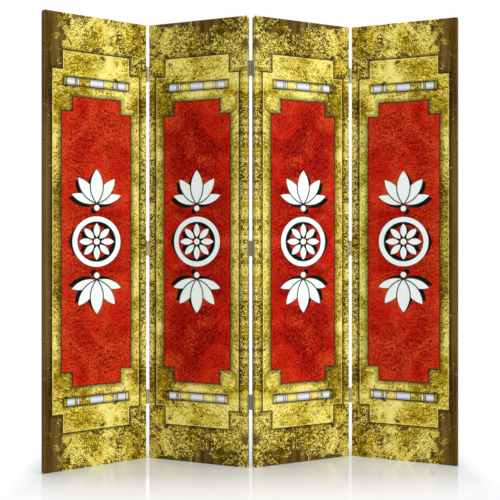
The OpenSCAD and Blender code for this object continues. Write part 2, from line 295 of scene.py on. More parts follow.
class Graph:
    """Adds nodes to a tree and links them, so that a pattern reads as a formula."""

    def __init__(self, tree):
        self.tree = tree

    def add(self, kind, **settings):
        node = self.tree.nodes.new("ShaderNode" + kind)
        for name, value in settings.items():
            setattr(node, name, value)
        return node

    def feed(self, socket, value):
        """Links a socket to another or sets its value. A plain colour gets its alpha here."""
        if isinstance(value, bpy.types.NodeSocket):
            self.tree.links.new(value, socket)
        elif socket.type == "RGBA":
            socket.default_value = (*value, 1.0)
        else:
            socket.default_value = value

    def feed_row(self, node, *values):
        """Feeds the first inputs of a node in their order."""
        for socket, value in zip(node.inputs, values):
            self.feed(socket, value)

    def feed_named(self, node, **values):
        """Feeds inputs of a node by their names."""
        for name, value in values.items():
            self.feed(node.inputs[name], value)

    def math(self, operation, *values):
        node = self.add("Math", operation=operation)
        self.feed_row(node, *values)
        return node.outputs[0]

    def vector_math(self, operation, *values):
        node = self.add("VectorMath", operation=operation)
        self.feed_row(node, *values)
        return node.outputs[0]

    def plus(self, a, b):
        return self.math("ADD", a, b)

    def minus(self, a, b):
        return self.math("SUBTRACT", a, b)

    def times(self, a, b):
        return self.math("MULTIPLY", a, b)

    def absolute(self, value):
        return self.math("ABSOLUTE", value)

    def least(self, *values):
        return reduce(lambda a, b: self.math("MINIMUM", a, b), values)

    def most(self, *values):
        return reduce(lambda a, b: self.math("MAXIMUM", a, b), values)

    def away(self, value, centre):
        """How far a coordinate is from a place."""
        return self.absolute(self.minus(value, centre))

    def length(self, a, b):
        return self.math("SQRT", self.plus(self.times(a, a), self.times(b, b)))

    def box(self, x, z, half_w, half_h):
        """Signed distance to an upright rectangle about the origin."""
        return self.most(self.minus(self.absolute(x), half_w), self.minus(self.absolute(z), half_h))

    def ring(self, x, z, radius, half_stroke):
        """Signed distance to a round line about the origin."""
        return self.minus(self.away(self.length(x, z), radius), half_stroke)

    def ramp(self, value, low, high, start=0.0, end=1.0):
        """Maps a value from low and high to start and end, and holds it there."""
        node = self.add("MapRange", clamp=True)
        self.feed_row(node, value, low, high, start, end)
        return node.outputs["Result"]

    def swing(self, value, reach, centre=0.5):
        """Maps what lies within reach of a centre to -1 and 1, and holds it there."""
        return self.ramp(value, centre - reach, centre + reach, -1.0, 1.0)

    def weighed(self, *parts):
        """Adds up values, each given with its weight."""
        (value, weight), *others = parts
        total = self.times(value, weight)
        for value, weight in others:
            total = self.math("MULTIPLY_ADD", value, weight, total)
        return total

    def inside(self, distance, softness=0.8 * MM):
        """A mask that is 1 within a shape."""
        return self.ramp(distance, -softness, softness, 1.0, 0.0)

    def mix(self, factor, a, b):
        """Mixes two colours, which a colour Mix node has in inputs 6 and 7 and output 2."""
        node = self.add("Mix", data_type="RGBA")
        for socket, value in ((node.inputs["Factor"], factor), (node.inputs[6], a), (node.inputs[7], b)):
            self.feed(socket, value)
        return node.outputs[2]

    def join(self, x=0.0, y=0.0, z=0.0):
        node = self.add("CombineXYZ")
        self.feed_row(node, x, y, z)
        return node.outputs[0]

    def split(self, vector):
        node = self.add("SeparateXYZ")
        self.feed_row(node, vector)
        return node.outputs[0], node.outputs[1], node.outputs[2]

    def scaled(self, vector, factors):
        return self.vector_math("MULTIPLY", vector, factors)

    def moved(self, vector, offset):
        return self.vector_math("ADD", vector, offset)

    def noise(self, vector, scale, detail=4.0, roughness=0.55, distortion=0.0):
        node = self.add("TexNoise")
        self.feed_named(node, Vector=vector, Scale=scale, Detail=detail, Roughness=roughness,
                        Distortion=distortion)
        return node.outputs["Fac"]

    def cells(self, vector, scale):
        """Distance to the nearest of some scattered points."""
        node = self.add("TexVoronoi")
        self.feed_named(node, Vector=vector, Scale=scale)
        return node.outputs["Distance"]

    def facets(self, vector, scale):
        """A value from -1 to 1 for each cell of an angular pattern."""
        node = self.add("TexVoronoi")
        self.feed_named(node, Vector=vector, Scale=scale)
        return self.ramp(self.split(node.outputs["Color"])[0], 0.0, 1.0, -1.0, 1.0)

    def bent(self, vector, scale, reach):
        """Moves each place a little by noise, so that straight edges wander."""
        noise = self.add("TexNoise")
        self.feed_named(noise, Vector=vector, Scale=scale)
        return self.vector_math("MULTIPLY_ADD", noise.outputs["Color"], (reach, reach, 0.0), vector)

    def bands(self, value, stops):
        """A colour for each stretch of a value: stops is a list of (place, colour)."""
        node = self.add("ValToRGB")
        self.feed_row(node, value)
        ramp = node.color_ramp
        while len(ramp.elements) < len(stops):
            ramp.elements.new(0.5)
        for element, (place, colour) in zip(ramp.elements, stops):
            element.position = place
            element.color = (*colour, 1.0)
        return node.outputs[0]

    def group(self, tree, **values):
        """Places a node group and feeds its named inputs."""
        node = self.add("Group", node_tree=tree)
        self.feed_named(node, **values)
        return node

    def bump(self, height, distance):
        node = self.add("Bump")
        self.feed_named(node, Height=height, Distance=distance)
        return node.outputs[0]

    def blend(self, factor, first, second):
        """Mixes two shaders."""
        node = self.add("MixShader")
        self.feed_row(node, factor, first, second)
        return node.outputs[0]


def new_group(name, inputs, outputs):
    """An empty node group with its sockets. Returns its graph, its inputs and its output node."""
    tree = bpy.data.node_groups.new(name, "ShaderNodeTree")
    for title, kind, default in inputs:
        socket = tree.interface.new_socket(name=title, in_out="INPUT", socket_type="NodeSocket" + kind)
        if default is not None:
            socket.default_value = (*default, 1.0) if kind == "Color" else default
    for title, kind in outputs:
        tree.interface.new_socket(name=title, in_out="OUTPUT", socket_type="NodeSocket" + kind)
    given = tree.nodes.new("NodeGroupInput")
    result = tree.nodes.new("NodeGroupOutput")
    return Graph(tree), given.outputs, result


def bare_material(name):
    """A material without nodes. Returns it and its graph."""
    material = bpy.data.materials.new(name)
    material.use_nodes = True
    material.node_tree.nodes.clear()
    return material, Graph(material.node_tree)


def new_material(name):
    """A material with a Principled BSDF alone. Returns it, its graph and the shader."""
    material, graph = bare_material(name)
    shader = graph.add("BsdfPrincipled")
    graph.feed_named(graph.add("OutputMaterial"), Surface=shader.outputs[0])
    return material, graph, shader


def feed_shader(graph, shader, colour, roughness, height, rise):
    """Feeds a Principled BSDF with a colour, a roughness and a relief that rises so far."""
    graph.feed_named(shader, Roughness=roughness, Normal=graph.bump(height, rise))
    graph.feed(shader.inputs["Base Color"], colour)


# Patterns as node groups

def weave_group():
    """Plain weave: threads that pass over and under each other, with slubs."""
    graph, given, result = new_group(
        "canvas weave",
        [("Vector", "Vector", None), ("Pitch", "Float", 0.0008)],
        [("Height", "Float"), ("Slub", "Float")])
    x, z, _ = graph.split(given["Vector"])
    step = graph.math("DIVIDE", math.pi, given["Pitch"])
    warp = graph.math("SINE", graph.times(x, step))
    weft = graph.math("SINE", graph.times(z, step))

    def thread(across, other, side):
        """The height of the threads that run one way, each over or under those it crosses."""
        crossing = graph.times(graph.math("SIGN", across), other)
        over = graph.math("MULTIPLY_ADD", crossing, 0.5 * side, 0.5)
        return graph.times(graph.absolute(across), over)

    height = graph.most(thread(warp, weft, 1), thread(weft, warp, -1))
    upright = graph.noise(graph.scaled(given["Vector"], (700.0, 26.0, 1.0)), 1.0, 2.0)
    lying = graph.noise(graph.scaled(given["Vector"], (26.0, 700.0, 1.0)), 1.0, 2.0)
    slub = graph.times(graph.plus(upright, lying), 0.5)
    graph.feed_named(result, Height=graph.math("MULTIPLY_ADD", slub, 0.6, height), Slub=slub)
    return graph.tree


def gold_leaf_group(colours):
    """Gold leaf that is smooth here and crackled there, torn open over a streaky brown ground."""
    graph, given, result = new_group(
        "gold leaf",
        [("Vector", "Vector", None), ("Tarnish", "Float", 0.0), ("Calm", "Float", 0.0)],
        [("Color", "Color"), ("Leaf", "Float")])
    vector = given["Vector"]

    # The leaf's tone: clouds, and crackle that is stronger where the leaf is rough
    cloud = graph.ramp(graph.noise(vector, 8.0, 3.0, 0.5, 0.8), 0.34, 0.66)
    rough = graph.ramp(graph.noise(vector, 9.0, 5.0, 0.7, 0.8), 0.40, 0.54)
    rough = graph.times(rough, graph.minus(1.0, given["Calm"]))
    patch = graph.swing(graph.noise(vector, 30.0, 4.0, 0.6, 1.2), 0.16)
    facet = graph.facets(graph.bent(vector, 120.0, 8 * MM), 100.0)
    crackle = graph.swing(graph.noise(vector, 52.0, 5.0, 0.78, 2.6), 0.10)
    fleck = graph.swing(graph.noise(vector, 150.0, 2.0, 0.6, 0.3), 0.08)
    beside = graph.moved(vector, (1.6 * MM, 1.6 * MM, 0.0))
    flake, flake_beside = (graph.noise(place, 80.0, 4.0, 0.6, 2.4) for place in (vector, beside))
    relief = graph.swing(graph.minus(flake, flake_beside), 0.10, 0.0)
    detail = graph.weighed((fleck, 0.36), (crackle, 0.70), (relief, 0.75), (facet, 0.42), (patch, 0.22))
    leaf = graph.times(detail, graph.ramp(rough, 0.0, 1.0, 0.20, 0.68))
    leaf = graph.plus(leaf, graph.ramp(rough, 0.0, 1.0, 0.66, 0.50))
    leaf = graph.plus(leaf, graph.ramp(cloud, 0.0, 1.0, -0.34, 0.25))
    leaf = graph.math("MULTIPLY_ADD", given["Tarnish"], -0.6, leaf)
    colour = graph.bands(leaf, [
        (0.0, colours.umber), (0.20, colours.bronze), (0.42, colours.olive), (0.60, colours.gold),
        (0.76, colours.gold_light), (0.90, colours.gold_pale)])

    # The streaky ground
    streak = graph.noise(graph.scaled(vector, (130.0, 3.0, 20.0)), 1.0, 5.0, 0.65, 0.2)
    ground = graph.mix(graph.ramp(streak, 0.40, 0.60), colours.umber, colours.bronze)
    band = graph.noise(graph.scaled(vector, (42.0, 1.5, 20.0)), 1.0, 4.0, 0.55, 0.2)
    ground = graph.mix(graph.ramp(band, 0.42, 0.60, 0.0, 0.72), ground, colours.earth)
    ground = graph.mix(graph.ramp(fleck, 0.5, 1.0, 0.0, 0.25), ground, colours.olive)

    # Where the leaf is torn off, the pale rims of the tears and the pits beside them
    torn = graph.noise(vector, 13.0, 10.0, 0.66, 1.3)
    torn = graph.minus(torn, graph.math("MULTIPLY_ADD", given["Tarnish"], 0.30, 0.39))
    bare = graph.ramp(torn, 0.006, -0.004)
    rim = graph.times(graph.ramp(torn, 0.022, 0.008), graph.ramp(crackle, -0.3, 0.4))
    colour = graph.mix(graph.times(rim, 0.75), colour, colours.gold_pale)
    colour = graph.mix(bare, colour, ground)
    pit = graph.minus(graph.cells(vector, 62.0), graph.ramp(crackle, -0.4, 0.5, 0.16, 0.0))
    pit = graph.times(graph.ramp(pit, 0.03, -0.03), graph.ramp(torn, 0.16, 0.05))
    colour = graph.mix(pit, colour, colours.black)
    graph.feed_named(result, Color=colour, Leaf=graph.times(leaf, graph.minus(1.0, bare)))
    return graph.tree


def lacquer_group(colours):
    """Red lacquer with clouds of fine dark wear, and little of it near the edge of the field."""
    graph, given, result = new_group(
        "red lacquer", [("Vector", "Vector", None), ("Depth", "Float", 0.1), ("Wear", "Float", 1.0)],
        [("Color", "Color")])
    vector = given["Vector"]

    # A red that is brighter here and there, under clouds of fine wear
    cloud = graph.ramp(graph.noise(vector, 7.0, 5.0, 0.62, 1.2), 0.41, 0.59)
    blend = graph.noise(vector, 12.0, 3.0, 0.55, 0.4)
    grain = graph.ramp(graph.noise(vector, 150.0, 4.0, 0.75, 0.6), 0.44, 0.56)
    fibre = graph.noise(graph.scaled(vector, (50.0, 110.0, 80.0)), 1.0, 5.0, 0.8, 1.6)
    kept = graph.ramp(given["Depth"], 4 * MM, 60 * MM, 0.25, 1.0)
    level = graph.times(graph.ramp(cloud, 0.0, 1.0, 0.0, 0.70), kept)
    level = graph.times(level, given["Wear"])
    scratch = graph.weighed((graph.ramp(fibre, 0.43, 0.57), 0.45), (grain, 0.7))
    wear = graph.ramp(graph.plus(scratch, level), 0.80, 0.94)
    ground = graph.mix(graph.ramp(blend, 0.38, 0.60), colours.red_light, colours.red)

    # Slanting scores, dark on sound lacquer and bright where it is worn
    x, z, _ = graph.split(vector)
    slanting = graph.join(graph.times(graph.plus(x, z), 26.0), graph.times(graph.minus(x, z), 80.0))
    score = graph.ramp(graph.noise(slanting, 1.0, 4.0, 0.8, 0.8), 0.48, 0.55)
    scored = graph.times(score, graph.ramp(cloud, 0.0, 1.0, 0.0, 0.35))
    sound = graph.mix(scored, ground, colours.red_deep)
    worn = graph.mix(graph.times(score, 0.55), colours.red_deep, colours.red)
    graph.feed_named(result, Color=graph.mix(wear, sound, worn))
    return graph.tree


def petal(graph, x, z, lean, foot, length, half_w):
    """Signed distance to a pointed petal, its lean in degrees from Z and its foot off the origin."""
    half = length / 2
    radius = (half * half + half_w * half_w) / (2 * half_w)
    cos, sin = math.cos(math.radians(lean)), math.sin(math.radians(lean))
    run = graph.plus(graph.times(x, sin), graph.times(z, cos))
    across = graph.minus(graph.times(x, cos), graph.times(z, sin))
    reach = graph.plus(graph.absolute(across), radius - half_w)
    return graph.minus(graph.length(reach, graph.minus(run, foot + half)), radius)


def blossom(graph, x, z):
    """Signed distance to an open five-petalled blossom on a bead, its foot at z = 0."""
    drawn = None
    for lean, length, half_w in BLOSSOM_PETALS:
        distance = petal(graph, x, z, lean, 0.0, length, half_w)
        if drawn is None:
            drawn = distance
        else:
            behind = graph.most(distance, graph.minus(PETAL_GAP, drawn))
            drawn = graph.least(drawn, behind)
    below, radius = BLOSSOM_BEAD
    bead = graph.minus(graph.length(x, graph.plus(z, below)), radius)
    return graph.least(drawn, bead)


def ornament_group(design):
    """Signed distance to an eight-petalled rosette in a ring, between two blossoms."""
    graph, given, result = new_group("ornament", [("Vector", "Vector", None)], [("Distance", "Float")])
    x, z, _ = graph.split(given["Vector"])
    side_x, side_z = graph.absolute(x), graph.absolute(z)
    ring = graph.ring(x, z, design.ring_radius, design.ring_w / 2)
    bead = graph.minus(graph.length(x, z), ROSETTE_BEAD)
    petals = [petal(graph, side_x, side_z, lean, *ROSETTE_PETAL) for lean in (0, 45, 90)]
    flower = blossom(graph, side_x, graph.minus(side_z, design.blossom_rise))
    graph.feed_named(result, Distance=graph.least(ring, bead, *petals, flower))
    return graph.tree


def panel_print_group(colours, design):
    """The print: gold leaf, a stepped plate, rods with silver clasps, a lacquer field and an ornament."""
    leaf_tree, lacquer_tree = gold_leaf_group(colours), lacquer_group(colours)
    ornament_tree = ornament_group(design)
    panel_w, panel_h = PLACES[1].width, PLACES[1].height
    graph, given, result = new_group(
        "panel print", [("Vector", "Vector", None)], [("Color", "Color"), ("Metal", "Float")])
    x, z, _ = graph.split(given["Vector"])
    z = graph.minus(z, panel_h / 2)
    middle = panel_w * len(PANEL_NUMBERS) / 2
    from_middle = graph.away(x, middle)
    end_z = graph.absolute(z)
    mirrored = graph.join(from_middle, end_z, NOISE_SLICE)
    px = graph.minus(graph.math("MODULO", x, panel_w), panel_w / 2)

    def stepped(width, height, step_w, step_h):
        """Signed distance to an upright rectangle with a step cut out of each corner."""
        return graph.least(graph.box(px, z, width / 2, height / 2 - step_h),
                           graph.box(px, z, width / 2 - step_w, height / 2))

    def shade(colour, distance, spread, depth, tint):
        """Darkens what lies just outside a shape."""
        outside = graph.minus(1.0, graph.inside(distance))
        near = graph.times(outside, graph.ramp(distance, 0.0, spread, depth, 0.0))
        return graph.mix(near, colour, tint)

    def outlined(colour, distance, half_line, strength):
        """Draws a dark line along the edge of a shape."""
        line = graph.minus(graph.absolute(distance), half_line)
        return graph.mix(graph.times(graph.inside(line), strength), colour, colours.black)

    plate = stepped(design.plate_w, design.plate_h, design.plate_step_w, design.plate_step_h)
    field = stepped(design.field_w, design.field_h, design.field_step_w, design.field_step_h)
    on_plate = graph.inside(plate)

    # Tarnish at the row's outer edges, and above and below near the middle fold
    border = graph.ramp(from_middle, middle - 95 * MM, middle - 14 * MM, 0.0, 0.85)
    near_middle = graph.ramp(from_middle, panel_w * 0.8, panel_w * 1.3, 1.0, 0.3)
    brow = graph.plus(graph.ramp(end_z, panel_h / 2 - 230 * MM, panel_h / 2, 0.0, 0.26),
                      graph.ramp(end_z, panel_h / 2 - 30 * MM, panel_h / 2 - 6 * MM, 0.0, 0.22))
    tarnish = graph.plus(border, graph.times(brow, near_middle))
    tarnish = graph.times(tarnish, graph.math("MULTIPLY_ADD", on_plate, -0.85, 1.0))
    tarnish = graph.minus(tarnish, graph.times(on_plate, 0.10))
    calm = graph.times(on_plate, 0.8)
    leaf = graph.group(leaf_tree, Vector=mirrored, Tarnish=tarnish, Calm=calm)

    # The plate: a shade about it, a dark outline and a bright line within
    colour = shade(leaf.outputs["Color"], plate, 13 * MM, 0.75, colours.umber)
    colour = outlined(colour, plate, 1.7 * MM, 0.9)
    lit = graph.inside(graph.minus(graph.away(plate, -4 * MM), 1.4 * MM))
    colour = graph.mix(graph.times(lit, 0.5), colour, colours.gold_pale)

    # The rods, rounded by their shading, with bands of silver
    rod_z = graph.away(end_z, design.rod_rise)
    rod = graph.box(px, rod_z, design.rod_w / 2, design.rod_h / 2)
    side = graph.absolute(px)
    along = graph.least(*(graph.minus(graph.away(side, at), half_w) for at, half_w in ROD_BANDS))
    silver = graph.most(along, graph.minus(rod_z, design.rod_h / 2))
    rounding = graph.math("DIVIDE", rod_z, design.rod_h / 2)
    colour = shade(colour, rod, 8 * MM, 0.8, colours.shadow)
    turned = graph.mix(graph.ramp(rounding, 0.35, 1.0, 0.0, 0.75), colour, colours.umber)
    colour = graph.mix(graph.inside(rod), colour, turned)
    shine = graph.bands(rounding, [
        (0.0, colours.silver_light), (0.25, colours.silver_light), (1.0, colours.silver_dark)])
    colour = graph.mix(graph.inside(silver), colour, shine)
    colour = outlined(colour, rod, 1.3 * MM, 0.85)
    colour = outlined(colour, silver, 1.2 * MM, 0.85)

    # The lacquered field, worn most near the middle fold
    colour = shade(colour, field, 17 * MM, 0.85, colours.shadow)
    worn = graph.ramp(from_middle, panel_w * 0.8, panel_w * 1.2, 1.0, 0.55)
    depth = graph.times(field, -1.0)
    lacquer = graph.group(lacquer_tree, Vector=mirrored, Depth=depth, Wear=worn)
    colour = graph.mix(graph.inside(field), colour, lacquer.outputs["Color"])
    colour = outlined(colour, field, 1.5 * MM, 0.9)

    # The ornament over its black drop edge and a thin black outline
    outward = graph.math("SIGN", graph.minus(middle, x))
    dropped = graph.join(graph.math("MULTIPLY_ADD", outward, design.drop_x, px),
                         graph.plus(end_z, design.drop_z))
    drop = graph.group(ornament_tree, Vector=dropped).outputs["Distance"]
    ornament = graph.group(ornament_tree, Vector=graph.join(px, z)).outputs["Distance"]
    colour = graph.mix(graph.inside(graph.minus(drop, 1 * MM)), colour, colours.black)
    colour = graph.mix(graph.inside(graph.minus(ornament, 1.8 * MM)), colour, colours.black)
    colour = graph.mix(graph.inside(ornament), colour, colours.white)
    gilt = graph.minus(1.0, graph.inside(field))
    metal = graph.times(gilt, graph.ramp(leaf.outputs["Leaf"], 0.3, 0.9))
    graph.feed_named(result, Color=colour, Metal=metal)
    return graph.tree


def pine_group():
    """Planed pine with growth rings, pores and now and then a knot. The grain runs along Z."""
    graph, given, result = new_group(
        "pine grain",
        [("Vector", "Vector", None), ("Early", "Color", (0.8, 0.6, 0.35)),
         ("Late", "Color", (0.5, 0.3, 0.1)), ("Knot", "Color", (0.2, 0.1, 0.05))],
        [("Color", "Color"), ("Roughness", "Float"), ("Height", "Float")])
    vector = given["Vector"]

    # Growth rings that drift and swell round the knots
    drift = graph.noise(graph.scaled(vector, (9.0, 9.0, 1.1)), 1.0, 3.0, 0.5, 0.3)
    knot = graph.cells(graph.scaled(vector, (9.0, 9.0, 2.3)), 1.0)
    swell = graph.math("POWER", graph.ramp(knot, 0.0, 0.42, 1.0, 0.0), 2.0)
    x, y, _ = graph.split(graph.moved(vector, (31 * MM, 83 * MM, 0.0)))
    rings = graph.math("MULTIPLY_ADD", drift, 55 * MM, graph.length(x, y))
    rings = graph.math("MULTIPLY_ADD", swell, 12 * MM, rings)
    phase = graph.math("FRACT", graph.math("DIVIDE", rings, GROWTH_RING))
    late = graph.math("POWER", phase, 2.6)

    # Pores, the bands' tone and the knots
    fibre = graph.noise(graph.scaled(vector, (1500.0, 1500.0, 26.0)), 1.0, 2.0)
    pores = graph.ramp(fibre, 0.35, 0.7, -0.12, 0.12)
    tone = graph.math("MULTIPLY_ADD", late, 0.75, pores)
    colour = graph.mix(graph.ramp(tone, 0.0, 1.0), given["Early"], given["Late"])
    heart = graph.ramp(knot, 0.055, 0.085, 0.9, 0.0)
    halo = graph.ramp(knot, 0.06, 0.16, 0.55, 0.0)
    colour = graph.mix(halo, colour, given["Late"])
    colour = graph.mix(heart, colour, given["Knot"])
    graph.feed_named(result, Color=colour, Roughness=graph.ramp(tone, 0.0, 1.0, 0.70, 0.55),
                     Height=graph.math("MULTIPLY_ADD", fibre, 0.5, late))
    return graph.tree


def plated_group():
    """Plated sheet steel: cloudy tarnish and fine handling scratches. Built once for all that use it."""
    if PLATED in bpy.data.node_groups:
        return bpy.data.node_groups[PLATED]
    graph, given, result = new_group(
        PLATED,
        [("Vector", "Vector", None), ("Bright", "Color", (0.6, 0.6, 0.6)),
         ("Dull", "Color", (0.3, 0.3, 0.3))],
        [("Color", "Color"), ("Roughness", "Float"), ("Height", "Float")])
    vector = given["Vector"]
    cloud = graph.noise(vector, 160.0, 5.0, 0.65, 0.6)
    grain = graph.noise(vector, 1400.0, 2.0)
    scratch = graph.noise(graph.scaled(vector, (2600.0, 2600.0, 90.0)), 1.0, 3.0)
    dull = graph.plus(graph.ramp(cloud, 0.42, 0.72, 0.0, 0.75), graph.ramp(scratch, 0.6, 0.8, 0.0, 0.4))
    colour = graph.mix(graph.ramp(dull, 0.0, 1.0), given["Bright"], given["Dull"])
    graph.feed_named(result, Color=colour, Roughness=graph.ramp(dull, 0.0, 1.0, 0.34, 0.58),
                     Height=graph.math("MULTIPLY_ADD", scratch, 0.6, grain))
    return graph.tree


# Materials

def printed_canvas_material(scene, weave_tree):
    """Printed canvas, with unprinted primer past the bleed on the back."""
    cloth, plain = scene.screen_cloth, colours_of(scene.screen_materials)
    material, graph, shader = new_material("printed_canvas")
    art = graph.add("UVMap", uv_map=PRINT_MAP).outputs[0]
    turn, _, _ = graph.split(graph.add("UVMap", uv_map=TURN_MAP).outputs[0])
    print_tree = panel_print_group(colours_of(scene.screen_print), scene.screen_design)
    picture = graph.group(print_tree, Vector=art)
    weave = graph.group(weave_tree, Vector=art, Pitch=cloth.weave_pitch)

    # The print ends on the back in an uneven line
    uneven = graph.noise(graph.scaled(art, (40.0, 40.0, 1.0)), 1.0, 3.0)
    edge = graph.math("MULTIPLY_ADD", graph.minus(uneven, 0.5), 2 * MM, turn)
    last = PLACES[1].depth + cloth.bleed
    past_print = graph.ramp(edge, last - 0.3 * MM, last + 0.3 * MM)
    primer = graph.mix(graph.ramp(weave.outputs["Slub"], 0.3, 0.7), plain.raw_cloth, plain.primer)
    colour = graph.mix(past_print, picture.outputs["Color"], primer)

    # Painted shade darkens the print in the hollows of the weave and a painted highlight lifts it on the
    # threads, and gold leaf is smoother than lacquer
    height = weave.outputs["Height"]
    painted_weave_shade = graph.add("VectorMath", operation="SCALE")
    graph.feed_named(painted_weave_shade, Vector=colour, Scale=graph.ramp(height, 0.1, 0.9, 0.90, 1.04))
    roughness = graph.ramp(picture.outputs["Metal"], 0.0, 1.0, 0.62, 0.46)
    feed_shader(graph, shader, painted_weave_shade.outputs[0], roughness, height, 0.10 * MM)
    graph.feed(shader.inputs["Specular IOR Level"], 0.04)
    return material


def raw_canvas_material(scene, weave_tree):
    """The unprinted back of the canvas."""
    cloth, plain = scene.screen_cloth, colours_of(scene.screen_materials)
    material, graph, shader = new_material("raw_canvas")
    art = graph.add("UVMap", uv_map=PRINT_MAP).outputs[0]
    weave = graph.group(weave_tree, Vector=art, Pitch=cloth.weave_pitch)
    height = weave.outputs["Height"]
    stain = graph.noise(art, 6.0, 4.0, 0.6, 0.5)
    # Painted shade: the hollows between the threads are darkened, and the thread tops keep the raw colour
    colour = graph.mix(graph.ramp(height, 0.1, 0.9), plain.thread_shade_and_stain, plain.raw_cloth)
    # Stains, in the same colour as the painted shade
    colour = graph.mix(graph.ramp(stain, 0.45, 0.8, 0.0, 0.35), colour, plain.thread_shade_and_stain)
    roughness = graph.ramp(weave.outputs["Slub"], 0.3, 0.7, 0.95, 0.82)
    feed_shader(graph, shader, colour, roughness, height, 0.14 * MM)
    return material


def pine_material(scene, tree, name, turned):
    """Pine whose grain follows a bar. turned takes the bar's own directions to the grain's."""
    plain = colours_of(scene.screen_materials)
    material, graph, shader = new_material(name)
    mapping = graph.add("Mapping")
    graph.feed_named(mapping, Vector=graph.add("TexCoord").outputs["Object"],
                     Rotation=turned.to_euler("XYZ"))
    wood = graph.group(tree, Vector=mapping.outputs[0], Early=plain.pine_light, Late=plain.pine_dark,
                       Knot=plain.knot_dark)
    colour, roughness, height = wood.outputs
    feed_shader(graph, shader, colour, roughness, height, 0.15 * MM)
    return material


def steel_material(tree, name, bright, dull, metallic=1.0):
    """Plated steel in the two given colours."""
    material, graph, shader = new_material(name)
    steel = graph.group(tree, Vector=graph.add("TexCoord").outputs["Object"], Bright=bright, Dull=dull)
    colour, roughness, height = steel.outputs
    feed_shader(graph, shader, colour, roughness, height, 0.02 * MM)
    graph.feed_named(shader, Metallic=metallic)
    return material


# Objects

def linked(name, data):
    """An object of a mesh, a light or a camera, in the scene."""
    thing = bpy.data.objects.new(name, data)
    bpy.context.scene.collection.objects.link(thing)
    return thing


def finished(bm, name, *materials):
    """Turns a bmesh into an object with its materials."""
    mesh = bpy.data.meshes.new(name)
    bm.to_mesh(mesh)
    bm.free()
    for material in materials:
        mesh.materials.append(material)
    return linked(name, mesh)


def set_material(thing, material):
    """Gives every slot of an object's mesh one material."""
    slots = thing.data.materials
    if not len(slots):
        slots.append(material)
    for index in range(len(slots)):
        slots[index] = material


# Canvas and staples, drawn in a panel's own frame

def clamp(value, low, high):
    return max(low, min(high, value))


def stretched_cloth(place, cloth):
    """The cloth over a panel as one sheet: its face, its four edges and its turned margins."""
    width, depth, height = place.width, place.depth, place.height
    bm = bmesh.new()
    upright = Matrix.Translation((width / 2, 0, height / 2)) @ Matrix.Rotation(math.pi / 2, 4, "X")
    bmesh.ops.create_grid(bm, x_segments=CLOTH_COLUMNS, y_segments=CLOTH_ROWS, size=0.5,
                          matrix=upright @ Matrix.Diagonal((width, height, 1, 1)))

    def drawn_on():
        """Extrudes the open rim and returns its new vertices."""
        rim = [edge for edge in bm.edges if edge.is_boundary]
        made = bmesh.ops.extrude_edge_only(bm, edges=rim)["geom"]
        return [item for item in made if isinstance(item, bmesh.types.BMVert)]

    bmesh.ops.translate(bm, verts=drawn_on(), vec=(0, depth, 0))
    margin = cloth.turn_in
    cut = drawn_on()
    for vert in cut:
        vert.co.x = clamp(vert.co.x, margin, width - margin)
        vert.co.z = clamp(vert.co.z, margin, height - margin)
    bmesh.ops.remove_doubles(bm, verts=cut, dist=TINY)
    bmesh.ops.recalc_face_normals(bm, faces=bm.faces)
    bends = [edge for edge in bm.edges if edge.is_manifold and edge.calc_face_angle() > BEND]
    bmesh.ops.bevel(bm, geom=bends, offset=cloth.edge_radius, offset_type="OFFSET", segments=3,
                    profile=0.5, affect="EDGES", clamp_overlap=True, material=-1)
    return bm


def corner_folds(bm, place, cloth):
    """The surplus at each corner: a four-sided flap that lies on the turned margins."""
    margin = cloth.turn_in
    back = place.depth + cloth.thickness * 0.9
    flap = ((1.5 * MM, 1.2 * MM), (margin * 0.94, 1.2 * MM), (margin * 0.98, margin * 0.90),
            (2.5 * MM, 2.2 * MM))
    for right in (False, True):
        for upper in (False, True):
            verts = []
            for from_side, from_end in flap:
                x = place.width - from_side if right else from_side
                z = place.height - from_end if upper else from_end
                verts.append(bm.verts.new((x, back, z)))
            face = bm.faces.new(verts)
            face.normal_update()
            if face.normal.y < 0:
                face.normal_flip()


def map_cloth(bm, place, cloth):
    """Lays the print and the distance past the front edge on the cloth as two UV maps."""
    width, depth, height = place.width, place.depth, place.height
    art = bm.loops.layers.uv.new(PRINT_MAP)
    turn = bm.loops.layers.uv.new(TURN_MAP)
    shift = (place.number - 1) * width

    def folded(value, size):
        """Mirrors what is past an edge back on to the face."""
        value = abs(value)
        return size - abs(size - value)

    for face in bm.faces:
        normal, centre = face.normal, face.calc_center_median()
        from_side = min(centre.x, width - centre.x)
        from_end = min(centre.z, height - centre.z)
        on_back = normal.y > ON_BACK
        side = from_side < from_end if on_back else abs(normal.x) > abs(normal.z)
        for loop in face.loops:
            x, y, z = loop.vert.co
            u, v, past = x, z, 0.0
            if on_back:
                past = depth + (min(x, width - x) if side else min(z, height - z))
            elif abs(normal.y) < ON_FRONT:
                past = y
            if side and past:
                u = -past if centre.x < width / 2 else width + past
            elif past:
                v = -past if centre.z < height / 2 else height + past
            loop[art].uv = (shift + folded(u, width), folded(v, height))
            loop[turn].uv = (past, z)


def settle_cloth(bm, place, cloth, pitch):
    """Lets the face lie in a little, the margin rise between staples and the cut edge wander."""
    rng = random.Random(CUT_EDGE_SEED + place.number)
    width, depth, height = place.width, place.depth, place.height
    flat = 0.05 * MM
    for vert in bm.verts:
        x, y, z = vert.co
        from_side, from_end = min(x, width - x), min(z, height - z)
        if y < flat:
            bow = math.sin(math.pi * clamp(x / width, 0, 1)) * math.sin(math.pi * clamp(z / height, 0, 1))
            vert.co.y += cloth.slack * bow ** 0.5 if bow > RESTING else 0.0
        elif y > depth - flat:
            run = z if from_side < from_end else x
            inward = clamp(min(from_side, from_end) / cloth.turn_in, 0, 1)
            vert.co.y += cloth.ripple * inward * math.sin(math.pi * run / pitch) ** 2
            if vert.is_boundary:
                wander = rng.uniform(-1, 1) * cloth.fray
                if from_side < from_end:
                    vert.co.x += wander
                else:
                    vert.co.z += wander


